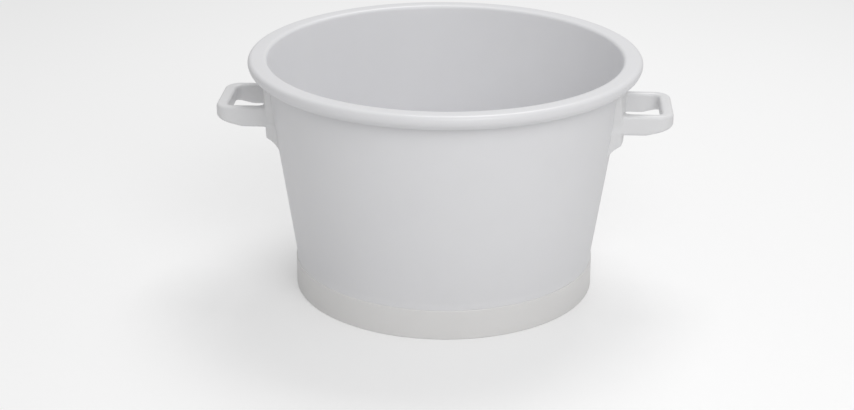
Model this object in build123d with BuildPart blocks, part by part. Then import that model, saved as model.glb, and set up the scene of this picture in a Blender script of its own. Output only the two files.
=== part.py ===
"""Round tub of food-grade plastic, with a rolled rim, a foot ring and two loop handles.

Millimetres, +Z up. The tub stands on Z = 0 with its axis on Z and its handles along X.
"""

import os
from math import cos, radians, sin, sqrt

from build123d import *

# Overall sizes
rim_diameter = 600.0
tub_height = 370.0
foot_diameter = 466.0

# Shell: wall, floor and the upright neck above the foot ring
wall = 6.5
rim_overhang = 25.5  # from the wall out to the widest circle, level with the lip of the rim
neck_height = 9.0
floor_recess = 13.5  # underside of the floor above the ground
corner_cut = 18.0  # sloping outside corner between wall and floor
bowl_round = 24.5  # rounded inside corner, easy to wipe clean

# Rolled rim, hollow and open below
roll_wall = 5.0
nose_round = 8.0
skirt_angle = 44.0  # how far the round nose turns in below the widest circle
skirt_length = 12.7
mouth_round = 6.0

# Ribs and gate boss under the floor
rib_thickness = 4.0
rib_depth = 8.0
rib_count = 12
rib_clearance = 3.0  # from the end of a rib to the start of the sloping corner
hub_radius = 34.0
mid_rib_radius = 112.0
gate_radius = 7.0
gate_drop = 3.0
gate_taper = 15.0

# Foot ring: a hoop round the corner of the shell, with a sloping ledge that carries it
ring_wall = 5.0
ring_height = 46.5
ring_step = 1.3  # how far the ring stands proud of the neck
ring_foot_break = 1.0
ledge_width = 15.0

# Handle loop, level and in line with X
handle_drop = 73.0  # from the crest of the rim down to the top of the loop
finger_width = 96.0
finger_depth = 54.5
arm_width = 15.0
arm_height = 31.5
grip_width = 17.5
grip_height = 21.0
flat_reach = 30.5  # level part of the underside, from the saddle out
underside_round = 30.0
loop_corner = 25.0
finger_corner = 10.0
root_fillet = 12.0
flare_fillet = 22.0
edge_break = 3.0

# Handle saddle, a pad on the wall under the rim
saddle_proud_top = 3.6  # from the wall to the face of the saddle
saddle_proud_low = 15.8
saddle_drop = 19.5  # below the underside of the loop
saddle_tuck = 6.0  # how far it goes up inside the rolled rim
saddle_foot_width = 92.0
saddle_low_width = 112.0
saddle_top_width = 142.0
flare_start_rise = 19.5  # the saddle widens from here, above the underside of the loop
flare_end_rise = 30.0  # up to here, above the top of the loop
saddle_flank_angle = 35.0
saddle_round = 4.0
scoop_depth = 21.0


def polar_point(centre: tuple[float, float], reach: float, angle: float) -> tuple[float, float]:
    """Point at a distance from a centre, at an angle in degrees."""
    return (centre[0] + reach * cos(radians(angle)), centre[1] + reach * sin(radians(angle)))


# Rim section: a round nose, then a straight skirt back in to the lip
rim_radius = rim_diameter / 2
nose_centre = (rim_radius - nose_round, tub_height - nose_round)
nose_end = polar_point(nose_centre, nose_round, -skirt_angle)
inner_nose_end = polar_point(nose_centre, nose_round - roll_wall, -skirt_angle)
lip_outer = polar_point(nose_end, skirt_length, -skirt_angle - 90)
lip_inner = polar_point(inner_nose_end, skirt_length, -skirt_angle - 90)
lip_z = lip_outer[1]
ceiling_z = tub_height - roll_wall

# Shell section: a straight taper from the neck to the rim
foot_radius = foot_diameter / 2
neck_radius = foot_radius - ring_step
seat_radius = foot_radius - ring_wall
floor_radius = seat_radius - corner_cut
kink_z = ring_height + neck_height
slope = (rim_radius - rim_overhang - neck_radius) / (lip_z - kink_z)
wall_across = wall * sqrt(1 + slope**2)  # wall thickness measured level
floor_top = floor_recess + wall


def wall_radius(z: float) -> float:
    """Radius of the outside of the tapered wall at height z."""
    return neck_radius + slope * (z - kink_z)


os.makedirs("parts", exist_ok=True)

# Shell: floor, tapered wall and rolled rim in one seamless revolve
with BuildPart() as tub_shell:
    with BuildSketch(Plane.XZ):
        with BuildLine():
            Polyline(
                (0, floor_recess),
                (floor_radius, floor_recess),
                (seat_radius, floor_recess + corner_cut),
                (seat_radius, ring_height),
                (neck_radius, ring_height),
                (neck_radius, kink_z),
                (wall_radius(ceiling_z), ceiling_z),
                (nose_centre[0], ceiling_z),
                inner_nose_end,
                lip_inner,
                lip_outer,
                nose_end,
            )
            CenterArc(nose_centre, nose_round, -skirt_angle, skirt_angle + 90)
            FilletPolyline(
                (nose_centre[0], tub_height),
                (wall_radius(tub_height) - wall_across, tub_height),
                (wall_radius(floor_top) - wall_across, floor_top),
                (0, floor_top),
                radius=[mouth_round, bowl_round],
            )
            Line((0, floor_top), (0, floor_recess))
        make_face()
    revolve(axis=Axis.Z)

    # Ribs under the floor: spokes, and two circles that tie them
    with BuildSketch(Plane.XY.offset(floor_recess - rib_depth)):
        for radius in (hub_radius, mid_rib_radius):
            Circle(radius)
            Circle(radius - rib_thickness, mode=Mode.SUBTRACT)
        rib_start = hub_radius - rib_thickness / 2
        rib_end = floor_radius - rib_clearance
        with PolarLocations((rib_start + rib_end) / 2, rib_count):
            Rectangle(rib_end - rib_start, rib_thickness)
    extrude(amount=rib_depth)

    # Gate boss in the middle of the floor
    with BuildSketch(Plane.XY.offset(floor_recess)):
        Circle(gate_radius)
    extrude(amount=-gate_drop, taper=gate_taper)

tub_shell.part.label = "tub_shell"
export_step(tub_shell.part, "parts/tub_shell.step")

# Foot ring: an upright hoop, and a ledge that follows the sloping corner of the shell
ledge_radius = seat_radius - ledge_width
ledge_across = ring_wall * sqrt(2)  # ledge thickness measured upright
ledge_z = floor_recess + corner_cut

with BuildPart() as foot_ring:
    with BuildSketch(Plane.XZ):
        with BuildLine():
            Polyline(
                (foot_radius, ring_foot_break),
                (foot_radius, ring_height - ring_step),
                (neck_radius, ring_height),
                (seat_radius, ring_height),
                (seat_radius, ledge_z),
                (ledge_radius, ledge_z - ledge_width),
                (ledge_radius, ledge_z - ledge_width - ledge_across),
                (seat_radius, ledge_z - ledge_across),
                (seat_radius, 0),
                (foot_radius - ring_foot_break, 0),
                close=True,
            )
        make_face()
    revolve(axis=Axis.Z)

foot_ring.part.label = "foot_ring"
export_step(foot_ring.part, "parts/foot_ring.step")

# The outside of the tapered wall as a solid cone, which the handles are trimmed to
with BuildPart() as wall_plug:
    with BuildSketch(Plane.XZ):
        with BuildLine():
            Polyline(
                (0, kink_z),
                (neck_radius, kink_z),
                (wall_radius(tub_height), tub_height),
                (0, tub_height),
                close=True,
            )
        make_face()
    revolve(axis=Axis.Z)

# Heights and reaches of a handle, from the rim down and from the wall out
arm_top = tub_height - handle_drop
arm_low = arm_top - arm_height
saddle_low = arm_low - saddle_drop
scoop_low = saddle_low - scoop_depth
saddle_top = lip_z + saddle_tuck
face_low_radius = wall_radius(saddle_low) + saddle_proud_low
face_top_radius = wall_radius(saddle_top) + saddle_proud_top
outline_radius = max(face_low_radius, face_top_radius)  # plane of the saddle's front view
gap_end = face_low_radius + finger_depth
loop_reach = gap_end + grip_width
loop_width = finger_width + 2 * arm_width
root_radius = wall_radius(arm_low)
core_radius = root_radius / 2  # inside the tub, where the blanks of a handle start

# Handle loop: its side view, cut to its plan, which holds the finger gap and the flared roots
with BuildPart() as handle_loop:
    with BuildSketch(Plane.XZ):
        with BuildLine():
            FilletPolyline(
                (core_radius, arm_low),
                (face_low_radius + flat_reach, arm_low),
                (loop_reach, arm_top - grip_height),
                radius=underside_round,
            )
            Polyline(
                (loop_reach, arm_top - grip_height),
                (loop_reach, arm_top),
                (core_radius, arm_top),
                (core_radius, arm_low),
            )
        make_face()
    extrude(amount=rim_radius, both=True)

    with BuildSketch(Plane.XY.offset(arm_low)) as loop_plan:
        Circle(root_radius)
        with Locations((loop_reach / 2, 0)):
            Rectangle(loop_reach, loop_width)
        fillet(loop_plan.vertices().filter_by(lambda v: v.X < loop_reach - loop_corner), flare_fillet)
        fillet(loop_plan.vertices().filter_by(lambda v: v.X > loop_reach - loop_corner), loop_corner)
        with BuildSketch(mode=Mode.SUBTRACT) as finger_gap:
            with Locations((gap_end / 2, 0)):
                Rectangle(gap_end, finger_width)
            Circle(face_low_radius, mode=Mode.SUBTRACT)
            fillet(finger_gap.vertices().filter_by(lambda v: v.X < gap_end - finger_corner), root_fillet)
            fillet(finger_gap.vertices().filter_by(lambda v: v.X > gap_end - finger_corner), finger_corner)
    extrude(amount=arm_height, mode=Mode.INTERSECT)

    # All edges of the loop are broken, on top and underneath
    outward = handle_loop.faces().filter_by(lambda f: abs(f.normal_at().Z) > 0.9)
    chamfer(outward.edges().filter_by(lambda e: e.center().X > face_low_radius - root_fillet), edge_break)

# Handle saddle: a pad around the wall, cut to its front view with sloping flanks
with BuildPart() as saddle:
    with BuildSketch(Plane.XZ):
        with BuildLine():
            Polyline(
                (face_low_radius, saddle_low),
                (face_top_radius, saddle_top),
                (wall_radius(saddle_top), saddle_top),
                (wall_radius(scoop_low), scoop_low),
            )
            TangentArc(
                (wall_radius(scoop_low), scoop_low), (face_low_radius, saddle_low), tangent=(slope, 1)
            )
        make_face()
    revolve(axis=Axis.Z)
    with BuildSketch(Plane.YZ.offset(outline_radius)):
        with BuildLine():
            Polyline(
                (0, saddle_top + scoop_depth),
                (saddle_top_width / 2, saddle_top + scoop_depth),
                (saddle_top_width / 2, arm_top + flare_end_rise),
                (saddle_low_width / 2, arm_low + flare_start_rise),
                (saddle_foot_width / 2, scoop_low),
                (saddle_foot_width / 2, scoop_low - scoop_depth),
                (0, scoop_low - scoop_depth),
            )
            mirror(about=Plane.YZ)
        make_face()
    extrude(amount=core_radius - outline_radius, taper=-saddle_flank_angle, mode=Mode.INTERSECT)
    saddle_face = saddle.faces().filter_by(GeomType.CONE).sort_by(Axis.X)[-1]
    fillet(saddle_face.edges().filter_by(lambda e: abs(e.center().Y) > finger_width / 2), saddle_round)

with BuildPart() as right_handle:
    add(saddle.part)
    add(handle_loop.part)
    add(wall_plug.part, mode=Mode.SUBTRACT)

right_handle.part.label = "right_handle"
export_step(right_handle.part, "parts/right_handle.step")

with BuildPart() as left_handle:
    mirror(right_handle.part, about=Plane.YZ)

left_handle.part.label = "left_handle"
export_step(left_handle.part, "parts/left_handle.step")
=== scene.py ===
"""Finish, light and camera for a round tub of food-grade plastic.

The tub's four mouldings are turned and softened here as the real ones are: a seamless shell
with a rolled rim, a foot ring, and two loop handles. They stand on a plain pale floor under
soft studio light. Sizes are metres, +Z is up, and the handles lie along X.
"""

import logging
import math
from collections.abc import Callable
from dataclasses import dataclass, field
from enum import Enum
from itertools import pairwise

import bpy
from mathutils import Matrix, Vector


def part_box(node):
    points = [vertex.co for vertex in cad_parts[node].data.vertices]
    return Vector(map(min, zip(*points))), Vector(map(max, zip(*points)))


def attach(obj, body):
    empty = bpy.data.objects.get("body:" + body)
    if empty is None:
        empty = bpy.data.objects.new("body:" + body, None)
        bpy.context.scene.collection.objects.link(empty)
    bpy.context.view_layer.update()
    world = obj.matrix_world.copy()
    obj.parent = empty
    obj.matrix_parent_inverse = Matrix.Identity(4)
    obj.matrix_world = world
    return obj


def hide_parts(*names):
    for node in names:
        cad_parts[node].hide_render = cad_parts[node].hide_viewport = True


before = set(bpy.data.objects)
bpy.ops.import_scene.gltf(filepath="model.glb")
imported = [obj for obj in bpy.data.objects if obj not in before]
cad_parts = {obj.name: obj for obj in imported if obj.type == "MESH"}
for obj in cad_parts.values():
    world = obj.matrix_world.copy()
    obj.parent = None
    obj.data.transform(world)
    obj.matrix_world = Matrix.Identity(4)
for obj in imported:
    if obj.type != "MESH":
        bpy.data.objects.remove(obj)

MM = 0.001
BODY = "root"

logging.basicConfig(level=logging.INFO, format="%(levelname)s %(message)s")
log = logging.getLogger("tub")


class Slot(Enum):
    """The record's material slots, one for each kind of moulding."""

    SHELL = "shell_plastic"
    FOOT = "foot_plastic"
    HANDLE = "handle_plastic"


# Shaders


def linear(hex_code: str) -> tuple[float, float, float, float]:
    """Turn an sRGB hex colour into the linear colour that a shader takes.

    Args:
        hex_code: Six hex digits, such as "E4E4E2".

    Returns:
        Linear red, green and blue, and an alpha of 1.
    """
    channels = [int(hex_code[i : i + 2], 16) / 255 for i in (0, 2, 4)]
    red, green, blue = [c / 12.92 if c <= 0.04045 else ((c + 0.055) / 1.055) ** 2.4 for c in channels]
    return (red, green, blue, 1.0)


def add_node(
    tree: bpy.types.NodeTree, kind: str, settings: dict | None = None, links: dict | None = None
) -> bpy.types.Node:
    """Add one shader node with its settings and incoming links.

    Args:
        tree: The node tree that the node joins.
        kind: The node's type, such as "ShaderNodeTexNoise".
        settings: Values by input name, or by attribute name where the node has one.
        links: Output sockets by the name or number of the input that they feed.

    Returns:
        The new node.
    """
    node = tree.nodes.new(kind)
    for name, value in (settings or {}).items():
        if hasattr(node, name):
            setattr(node, name, value)
        else:
            node.inputs[name].default_value = value
    for name, socket in (links or {}).items():
        tree.links.new(socket, node.inputs[name])
    return node


@dataclass(frozen=True)
class Polyethylene:
    """Natural white high-density polyethylene, injection moulded, with a satin face.

    The plastic lets a little light in, which softens its edges and shadows. The face is not
    quite even: it holds a faint cloudiness where the melt cooled, and a fine grain that breaks
    up reflections. The real grain is about 0.2 mm, too fine to show, so it is drawn coarser.
    """

    name: str
    light_hex: str
    cloud_hex: str
    roughness: float
    roughness_spread: float = 0.03
    cloud_size: float = 60 * MM
    grain_size: float = 1.6 * MM
    grain_depth: float = 0.03 * MM
    glow: float = 0.15
    glow_reach: float = 5 * MM
    ior: float = 1.54

    def material(self) -> bpy.types.Material:
        """Build the material.

        Returns:
            A node material that reads Object coordinates.
        """
        made = bpy.data.materials.new(self.name)
        made.use_nodes = True
        tree = made.node_tree
        tree.nodes.clear()
        place = add_node(tree, "ShaderNodeTexCoord").outputs["Object"]
        cloud = add_node(
            tree,
            "ShaderNodeTexNoise",
            {"Scale": 1 / self.cloud_size, "Detail": 3.0, "Roughness": 0.55},
            {"Vector": place},
        ).outputs["Fac"]
        colour = add_node(
            tree,
            "ShaderNodeMixRGB",
            {"Color1": linear(self.light_hex), "Color2": linear(self.cloud_hex)},
            {"Fac": cloud},
        ).outputs["Color"]
        gloss = add_node(
            tree,
            "ShaderNodeMapRange",
            {
                "To Min": self.roughness - self.roughness_spread,
                "To Max": self.roughness + self.roughness_spread,
            },
            {"Value": cloud},
        ).outputs["Result"]
        grain = add_node(
            tree, "ShaderNodeTexNoise", {"Scale": 1 / self.grain_size, "Detail": 2.0}, {"Vector": place}
        ).outputs["Fac"]
        bump = add_node(
            tree, "ShaderNodeBump", {"Strength": 1.0, "Distance": self.grain_depth}, {"Height": grain}
        ).outputs["Normal"]
        plastic = add_node(
            tree,
            "ShaderNodeBsdfPrincipled",
            {
                "IOR": self.ior,
                "Subsurface Weight": self.glow,
                "Subsurface Radius": (1.0, 0.98, 0.92),
                "Subsurface Scale": self.glow_reach,
            },
            {"Base Color": colour, "Roughness": gloss, "Normal": bump},
        )
        add_node(tree, "ShaderNodeOutputMaterial", None, {"Surface": plastic.outputs["BSDF"]})
        return made


SHELL_FINISH = Polyethylene("satin_polyethylene_shell", "E6E6E8", "E3E3E5", 0.36)
FOOT_FINISH = Polyethylene("satin_polyethylene_foot_ring", "E6E5E4", "E3E2E1", 0.34)
HANDLE_FINISH = Polyethylene("satin_polyethylene_handles", "E5E5E6", "E2E2E3", 0.38)


# Modelling


@dataclass(frozen=True)
class Corner:
    """A corner of a turned outline: its distance from the axis, its height and its rounding."""

    radius: float
    height: float
    rounding: float = 0.0

    @property
    def place(self) -> Vector:
        """The corner in the upright plane through the X axis."""
        return Vector((self.radius, 0.0, self.height))


def begin(name: str) -> bpy.types.Object:
    """Add a small plane, merge it to one vertex at the origin and stay in edit mode.

    Args:
        name: The name of the new piece.

    Returns:
        The new object.
    """
    bpy.ops.object.select_all(action="DESELECT")
    bpy.ops.mesh.primitive_plane_add(size=MM)
    piece = bpy.context.object
    piece.name = name
    bpy.ops.object.mode_set(mode="EDIT")
    bpy.ops.mesh.select_mode(type="VERT")
    bpy.ops.mesh.select_all(action="SELECT")
    bpy.ops.mesh.merge(type="CENTER")
    return piece


def pick(piece: bpy.types.Object, test: Callable[[Vector], bool]) -> None:
    """Select the vertices whose place passes a test, and go on in edit mode.

    Args:
        piece: The object that is in edit mode.
        test: Says whether a vertex at this place is selected.
    """
    bpy.ops.mesh.select_all(action="DESELECT")
    bpy.ops.object.mode_set(mode="OBJECT")
    for vertex in piece.data.vertices:
        vertex.select = test(vertex.co)
    bpy.ops.object.mode_set(mode="EDIT")


def near(*places: Vector) -> Callable[[Vector], bool]:
    """Make a test that a vertex lies at one of these places."""
    return lambda co: any((co - place).length < 0.01 * MM for place in places)


def turn_at(before: Vector, corner: Vector, after: Vector) -> float:
    """Angle by which an outline turns at a corner, in radians."""
    return (corner - before).angle(after - corner)


def round_corners(piece: bpy.types.Object, corners: list[Corner], closed: bool, step: float) -> None:
    """Bevel each rounded corner of an outline that is still a bare line.

    Args:
        piece: The outline's object, in edit mode.
        corners: The outline's corners in order.
        closed: Whether the last corner joins the first.
        step: Largest turn between two neighbouring segments of a rounding, in radians.
    """
    count = len(corners)
    for index, corner in enumerate(corners):
        if corner.rounding and (closed or 0 < index < count - 1):
            turn = turn_at(corners[index - 1].place, corner.place, corners[(index + 1) % count].place)
            pick(piece, near(corner.place))
            bpy.ops.mesh.bevel(
                offset=corner.rounding * math.tan(turn / 2),
                segments=max(2, math.ceil(turn / step)),
                affect="VERTICES",
            )


def divide_runs(piece: bpy.types.Object, longest: float) -> None:
    """Cut each long straight of a bare outline into even runs.

    Args:
        piece: The outline's object, in edit mode.
        longest: Longest run that is left.
    """
    bpy.ops.object.mode_set(mode="OBJECT")
    places = [vertex.co.copy() for vertex in piece.data.vertices]
    runs = [(places[edge.vertices[0]], places[edge.vertices[1]]) for edge in piece.data.edges]
    bpy.ops.object.mode_set(mode="EDIT")
    for start, end in runs:
        cuts = math.ceil((end - start).length / longest) - 1
        if cuts > 0:
            pick(piece, near(start, end))
            bpy.ops.mesh.subdivide(number_cuts=cuts)


def turned(
    name: str,
    corners: list[Corner],
    closed: bool = False,
    steps: int = 256,
    longest: float = 16 * MM,
    step: float = math.radians(9),
) -> bpy.types.Object:
    """Draw an outline by extruding a vertex, round its corners and spin it about the Z axis.

    Args:
        name: The name of the new piece.
        corners: The outline's corners in order, from the axis back to the axis, or all round.
        closed: Whether the outline closes on itself, clear of the axis.
        steps: How many steps the turn takes.
        longest: Longest straight run of the outline.
        step: Largest turn between two neighbouring segments of a rounding, in radians.

    Returns:
        The finished solid, with its place in its mesh.
    """
    piece = begin(name)
    bpy.ops.transform.translate(value=corners[0].place)
    path = corners + corners[:1] if closed else corners
    for here, there in pairwise(path):
        bpy.ops.mesh.extrude_region_move(TRANSFORM_OT_translate={"value": there.place - here.place})
    bpy.ops.mesh.select_all(action="SELECT")
    bpy.ops.mesh.remove_doubles(threshold=0.001 * MM)
    round_corners(piece, corners, closed, step)
    divide_runs(piece, longest)
    bpy.ops.mesh.select_all(action="SELECT")
    bpy.ops.mesh.spin(steps=steps, angle=2 * math.pi, center=(0, 0, 0), axis=(0, 0, 1))
    bpy.ops.mesh.select_all(action="SELECT")
    bpy.ops.mesh.remove_doubles(threshold=0.001 * MM)
    bpy.ops.mesh.normals_make_consistent(inside=False)
    bpy.ops.object.mode_set(mode="OBJECT")
    bpy.ops.object.shade_smooth_by_angle(angle=math.radians(30))
    return piece


def apply_modifier(piece: bpy.types.Object, kind: str, **settings: object) -> None:
    """Add a modifier with its settings and apply it.

    Args:
        piece: The object that takes it.
        kind: The modifier's type, such as "REMESH".
        settings: The modifier's attributes.
    """
    modifier = piece.modifiers.new(kind.lower(), kind)
    for name, value in settings.items():
        setattr(modifier, name, value)
    bpy.context.view_layer.objects.active = piece
    bpy.ops.object.modifier_apply(modifier=modifier.name)


def finish(piece: bpy.types.Object, node: str, finish_of: Polyethylene) -> None:
    """Dress a piece, let it stand for its moulding of the frame and fix it to the tub.

    Args:
        piece: The finished mesh.
        node: The moulding that it stands for.
        finish_of: The plastic that it is made of.
    """
    piece.data.materials.clear()
    piece.data.materials.append(finish_of.material())
    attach(piece, BODY)
    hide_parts(node)
    log.info("%s: %d faces in %s", piece.name, len(piece.data.polygons), finish_of.name)


# The tub


@dataclass
class TubShell:
    """Seamless food-side moulding: floor, tapered wall and rolled rim, with ribs underneath."""

    wall: float = 6.5 * MM
    rim_overhang: float = 25.5 * MM
    neck_height: float = 9 * MM
    kink_round: float = 30 * MM
    floor_recess: float = 13.5 * MM
    corner_cut: float = 18 * MM
    bowl_round: float = 24.5 * MM
    mouth_round: float = 6 * MM
    roll_wall: float = 5 * MM
    nose_round: float = 7 * MM
    skirt_round: float = 13.3 * MM
    skirt_corner: float = 13 * MM
    skirt_reach: float = 11 * MM
    skirt_drop: float = 22.7 * MM
    lip_round: float = 1.6 * MM
    rib_thickness: float = 4 * MM
    rib_depth: float = 8 * MM
    rib_count: int = 12
    rib_clearance: float = 3 * MM
    hub_radius: float = 34 * MM
    mid_rib_radius: float = 112 * MM
    gate_radius: float = 7 * MM
    gate_drop: float = 3 * MM
    node: str = "tub_shell"
    ring_node: str = "foot_ring"
    ring_step: float = 1.3 * MM
    ring_wall: float = 5 * MM
    rim_radius: float = field(init=False)
    height: float = field(init=False)
    foot_radius: float = field(init=False)
    ring_height: float = field(init=False)

    def __post_init__(self) -> None:
        """Take the overall sizes from the frame."""
        shell_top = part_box(self.node)[1]
        ring_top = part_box(self.ring_node)[1]
        self.rim_radius = shell_top.y
        self.height = shell_top.z
        self.foot_radius = ring_top.y
        self.ring_height = ring_top.z

    @property
    def lip(self) -> Vector:
        """Outer edge of the rim's lower lip, as radius and height."""
        return Vector((self.rim_radius - self.skirt_reach, self.height - self.skirt_drop))

    @property
    def neck_radius(self) -> float:
        """Radius of the upright neck above the foot ring."""
        return self.foot_radius - self.ring_step

    @property
    def seat_radius(self) -> float:
        """Radius of the shell inside the foot ring."""
        return self.foot_radius - self.ring_wall

    @property
    def kink_height(self) -> float:
        """Height at which the neck meets the tapered wall."""
        return self.ring_height + self.neck_height

    @property
    def slope(self) -> float:
        """How far the wall leans out for each metre that it rises."""
        run = self.rim_radius - self.rim_overhang - self.neck_radius
        return run / (self.lip.y - self.kink_height)

    def wall_radius(self, height: float) -> float:
        """Radius of the outside of the tapered wall at a height."""
        return self.neck_radius + self.slope * (height - self.kink_height)

    def inner_radius(self, height: float) -> float:
        """Radius of the inside of the tapered wall at a height."""
        return self.wall_radius(height) - self.wall * math.hypot(1, self.slope)

    def circle_rib(self, radius: float) -> list[Corner]:
        """Corners of a circular rib that hangs from the floor, from its inside out."""
        low = self.floor_recess - self.rib_depth
        inner = radius - self.rib_thickness
        return [
            Corner(inner, self.floor_recess, 1 * MM),
            Corner(inner, low, 0.8 * MM),
            Corner(radius, low, 0.8 * MM),
            Corner(radius, self.floor_recess, 1 * MM),
        ]

    def underside(self) -> list[Corner]:
        """Corners from the axis out under the floor and up to the neck."""
        gate_low = self.floor_recess - self.gate_drop
        return [
            Corner(0, gate_low),
            Corner(self.gate_radius - 1 * MM, gate_low, 0.8 * MM),
            Corner(self.gate_radius, self.floor_recess, 0.8 * MM),
            *self.circle_rib(self.hub_radius),
            *self.circle_rib(self.mid_rib_radius),
            Corner(self.seat_radius - self.corner_cut, self.floor_recess, 4 * MM),
            Corner(self.seat_radius, self.floor_recess + self.corner_cut, 4 * MM),
            Corner(self.seat_radius, self.ring_height),
            Corner(self.neck_radius, self.ring_height),
            Corner(self.neck_radius, self.kink_height, self.kink_round),
        ]

    def rim(self) -> list[Corner]:
        """Corners of the rolled rim, from its hollow round the lip and up to the crest."""
        ceiling = self.height - self.roll_wall
        inner_nose = self.rim_radius - self.roll_wall
        skirt_top = Vector((self.rim_radius, self.height - self.skirt_corner))
        along = (self.lip - skirt_top).normalized()
        inwards = Vector((along.y, -along.x))
        lip_inside = self.lip + inwards * self.roll_wall
        rise = (inner_nose - lip_inside.x) / -along.x * -along.y
        return [
            Corner(self.wall_radius(ceiling), ceiling, 4 * MM),
            Corner(inner_nose, ceiling, 2 * MM),
            Corner(inner_nose, lip_inside.y + rise, 3 * MM),
            Corner(lip_inside.x, lip_inside.y, self.lip_round),
            Corner(self.lip.x, self.lip.y, self.lip_round),
            Corner(skirt_top.x, skirt_top.y, self.skirt_round),
            Corner(self.rim_radius, self.height, self.nose_round),
        ]

    def inside(self) -> list[Corner]:
        """Corners from the mouth down the inside and in to the axis."""
        floor_top = self.floor_recess + self.wall
        return [
            Corner(self.inner_radius(self.height), self.height, self.mouth_round),
            Corner(self.inner_radius(floor_top), floor_top, self.bowl_round),
            Corner(0, floor_top),
        ]

    def spokes(self) -> bpy.types.Object:
        """Model one rib under the floor, narrower at its lower edge, and turn copies of it round.

        Returns:
            All the spokes as one piece.
        """
        start = self.hub_radius - self.rib_thickness / 2
        end = self.seat_radius - self.corner_cut - self.rib_clearance
        low = self.floor_recess - self.rib_depth
        root = self.floor_recess + self.wall / 4
        bpy.ops.object.select_all(action="DESELECT")
        bpy.ops.mesh.primitive_cube_add(
            size=1,
            location=((start + end) / 2, 0, (low + root) / 2),
            scale=(end - start, self.rib_thickness, root - low),
        )
        piece = bpy.context.object
        piece.name = "floor_spokes"
        bpy.ops.object.transform_apply(location=True, rotation=True, scale=True)
        bpy.ops.object.mode_set(mode="EDIT")
        bpy.ops.mesh.select_mode(type="VERT")
        pick(piece, lambda co: co.z < low + 0.1 * MM)
        bpy.ops.transform.resize(value=(1, 0.7, 1), center_override=(0, 0, low))
        bpy.ops.mesh.bevel(offset=0.7 * MM, segments=3, affect="EDGES")
        for index in range(1, self.rib_count):
            pick(piece, lambda co: co.x > 0 and abs(co.y) < self.rib_thickness)
            bpy.ops.mesh.duplicate()
            bpy.ops.transform.rotate(
                value=index * 2 * math.pi / self.rib_count, orient_axis="Z", center_override=(0, 0, 0)
            )
        bpy.ops.object.mode_set(mode="OBJECT")
        bpy.ops.object.shade_smooth_by_angle(angle=math.radians(30))
        return piece

    def build(self) -> None:
        """Turn the shell, add the spokes under its floor and dress both."""
        shell = turned("tub_shell_moulding", self.underside() + self.rim() + self.inside())
        finish(shell, self.node, SHELL_FINISH)
        finish(self.spokes(), self.node, SHELL_FINISH)


@dataclass
class FootRing:
    """Upright hoop round the corner of the shell, with a sloping ledge that carries it."""

    shell: TubShell
    foot_round: float = 1.5 * MM
    ledge_width: float = 15 * MM

    def build(self) -> None:
        """Turn the ring and dress it."""
        shell = self.shell
        ledge_height = shell.floor_recess + shell.corner_cut
        ledge_radius = shell.seat_radius - self.ledge_width
        across = shell.ring_wall * math.sqrt(2)
        ring = turned(
            "foot_ring_moulding",
            [
                Corner(shell.foot_radius, 0, self.foot_round),
                Corner(shell.foot_radius, shell.ring_height, shell.ring_step),
                Corner(shell.seat_radius, shell.ring_height),
                Corner(shell.seat_radius, ledge_height, 4 * MM),
                Corner(ledge_radius, ledge_height - self.ledge_width, 1 * MM),
                Corner(ledge_radius, ledge_height - self.ledge_width - across, 1 * MM),
                Corner(shell.seat_radius, ledge_height - across, 3 * MM),
                Corner(shell.seat_radius, 0, 1 * MM),
            ],
            closed=True,
        )
        finish(ring, shell.ring_node, FOOT_FINISH)


@dataclass
class LoopHandle:
    """Saddle and level loop in one moulding, with all its edges softly rounded."""

    shell: TubShell
    node: str
    grain: float = 1.2 * MM
    sink: float = 3 * MM
    softening: int = 14

    def build(self) -> None:
        """Copy the moulding, sink its back into the wall, soften its edges and dress it."""
        piece = bpy.data.objects.new(self.node + "_moulding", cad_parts[self.node].data.copy())
        bpy.context.scene.collection.objects.link(piece)
        bpy.ops.object.select_all(action="DESELECT")
        piece.select_set(True)
        bpy.context.view_layer.objects.active = piece
        bpy.ops.object.mode_set(mode="EDIT")
        bpy.ops.mesh.select_mode(type="VERT")
        bpy.ops.mesh.select_all(action="SELECT")
        bpy.ops.mesh.remove_doubles(threshold=0.01 * MM)
        pick(piece, lambda co: math.hypot(co.x, co.y) < self.shell.wall_radius(co.z) + 0.3 * MM)
        shrink = 1 - self.sink / self.shell.wall_radius(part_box(self.node)[0].z)
        bpy.ops.transform.resize(value=(shrink, shrink, 1), center_override=(0, 0, 0))
        bpy.ops.object.mode_set(mode="OBJECT")
        apply_modifier(piece, "REMESH", mode="VOXEL", voxel_size=self.grain)
        apply_modifier(piece, "SMOOTH", factor=0.5, iterations=self.softening)
        bpy.ops.object.shade_smooth()
        finish(piece, self.node, HANDLE_FINISH)


# The studio


@dataclass
class StudioCamera:
    """The camera: it looks down into the tub from the front, a little to the left of its axis.

    The aim point lies in the upright plane through the tub's axis that faces the camera.
    """

    distance: float = 2.832
    pitch: float = math.radians(21.753)
    swing: float = math.radians(3.5)
    roll: float = math.radians(0.2)
    aim_side: float = -0.0270
    aim_height: float = 0.1214
    lens: float = 75.88
    sensor: float = 36.0

    def build(self) -> bpy.types.Object:
        """Add the camera and make it the scene's own.

        Returns:
            The camera object.
        """
        data = bpy.data.cameras.new("studio_camera")
        data.lens = self.lens
        data.sensor_width = self.sensor
        data.sensor_fit = "HORIZONTAL"
        data.clip_start = 0.05
        camera = bpy.data.objects.new("studio_camera", data)
        bpy.context.scene.collection.objects.link(camera)
        back = Vector(
            (
                self.aim_side,
                -self.distance * math.cos(self.pitch),
                self.aim_height + self.distance * math.sin(self.pitch),
            )
        )
        turn = Matrix.Rotation(self.swing, 4, "Z")
        tilt = Matrix.Rotation(math.pi / 2 - self.pitch, 4, "X")
        camera.matrix_world = turn @ Matrix.Translation(back) @ tilt @ Matrix.Rotation(self.roll, 4, "Z")
        bpy.context.scene.camera = camera
        return camera


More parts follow.
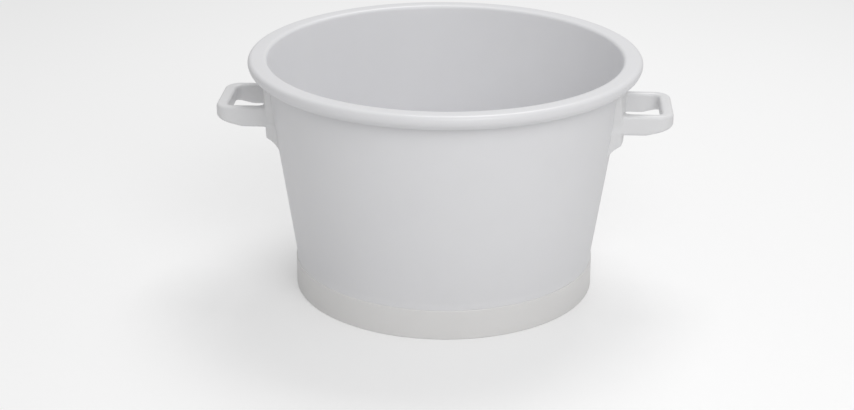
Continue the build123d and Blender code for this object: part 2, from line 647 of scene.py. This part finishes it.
@dataclass
class SoftBox:
    """A square studio lamp, placed by its bearing from the tub and aimed at it.

    A bearing of 0 is straight towards the camera, 90 is to its right, and 180 is behind the tub.
    """

    name: str
    bearing: float
    rise: float
    size: float
    power: float
    distance: float = 3.0

    def build(self, aim: Vector) -> bpy.types.Object:
        """Add the lamp.

        Args:
            aim: The point that it faces.

        Returns:
            The lamp object.
        """
        data = bpy.data.lights.new(self.name, "AREA")
        data.shape = "SQUARE"
        data.size = self.size
        data.energy = self.power
        lamp = bpy.data.objects.new(self.name, data)
        bpy.context.scene.collection.objects.link(lamp)
        bearing, rise = math.radians(self.bearing), math.radians(self.rise)
        out = Vector(
            (math.cos(rise) * math.sin(bearing), -math.cos(rise) * math.cos(bearing), math.sin(rise))
        )
        lamp.location = aim + out * self.distance
        lamp.rotation_euler = out.to_track_quat("Z", "Y").to_euler()
        return lamp


@dataclass
class Studio:
    """Plain floor, pale surroundings and soft lamps."""

    floor_size: float = 14.0
    surround: float = 0.5
    lift: float = 0.2
    aim: Vector = field(default_factory=lambda: Vector((0.0, 0.0, 0.2)))
    lamps: tuple[SoftBox, ...] = (
        SoftBox("back_box", 165.0, 65.0, 1.4, 30.0),
        SoftBox("front_box", 20.0, 35.0, 1.8, 30.0),
    )

    def floor_material(self) -> bpy.types.Material:
        """Build the floor's matt white paper, which shows white wherever no shadow falls."""
        made = bpy.data.materials.new("matt_white_paper_floor")
        made.use_nodes = True
        tree = made.node_tree
        tree.nodes.clear()
        ray = add_node(tree, "ShaderNodeLightPath").outputs["Is Camera Ray"]
        paper = add_node(tree, "ShaderNodeBsdfDiffuse", {"Color": linear("E6E6E6")}).outputs[0]
        glow = add_node(
            tree, "ShaderNodeEmission", {"Color": linear("FFFFFF"), "Strength": self.lift}
        ).outputs[0]
        lifted = add_node(tree, "ShaderNodeAddShader", None, {0: paper, 1: glow}).outputs[0]
        shown = add_node(tree, "ShaderNodeMixShader", None, {0: ray, 1: paper, 2: lifted})
        add_node(tree, "ShaderNodeOutputMaterial", None, {"Surface": shown.outputs[0]})
        return made

    def build(self) -> None:
        """Add the floor, the surroundings and the lamps."""
        bpy.ops.object.select_all(action="DESELECT")
        bpy.ops.mesh.primitive_plane_add(size=self.floor_size)
        floor = bpy.context.object
        floor.name = "studio_floor"
        floor.data.materials.append(self.floor_material())
        world = bpy.data.worlds.new("studio_surround")
        world.use_nodes = True
        tree = world.node_tree
        tree.nodes.clear()
        ray = add_node(tree, "ShaderNodeLightPath").outputs["Is Camera Ray"]
        white = linear("FFFFFF")
        glow = add_node(tree, "ShaderNodeBackground", {"Color": white, "Strength": self.surround})
        seen = add_node(tree, "ShaderNodeBackground", {"Color": white, "Strength": 1.0})
        shown = add_node(
            tree, "ShaderNodeMixShader", None, {0: ray, 1: glow.outputs[0], 2: seen.outputs[0]}
        )
        add_node(tree, "ShaderNodeOutputWorld", None, {"Surface": shown.outputs[0]})
        bpy.context.scene.world = world
        for lamp in self.lamps:
            lamp.build(self.aim)
        log.info("floor, surroundings and %d lamps", len(self.lamps))


def main() -> None:
    """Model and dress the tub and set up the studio."""
    bpy.context.scene.view_settings.view_transform = "Standard"
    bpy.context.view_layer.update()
    StudioCamera().build()
    shell = TubShell()
    shell.build()
    FootRing(shell).build()
    for node in ("left_handle", "right_handle"):
        LoopHandle(shell, node).build()
    Studio().build()
    bpy.context.view_layer.update()


if __name__ == "__main__":
    main()
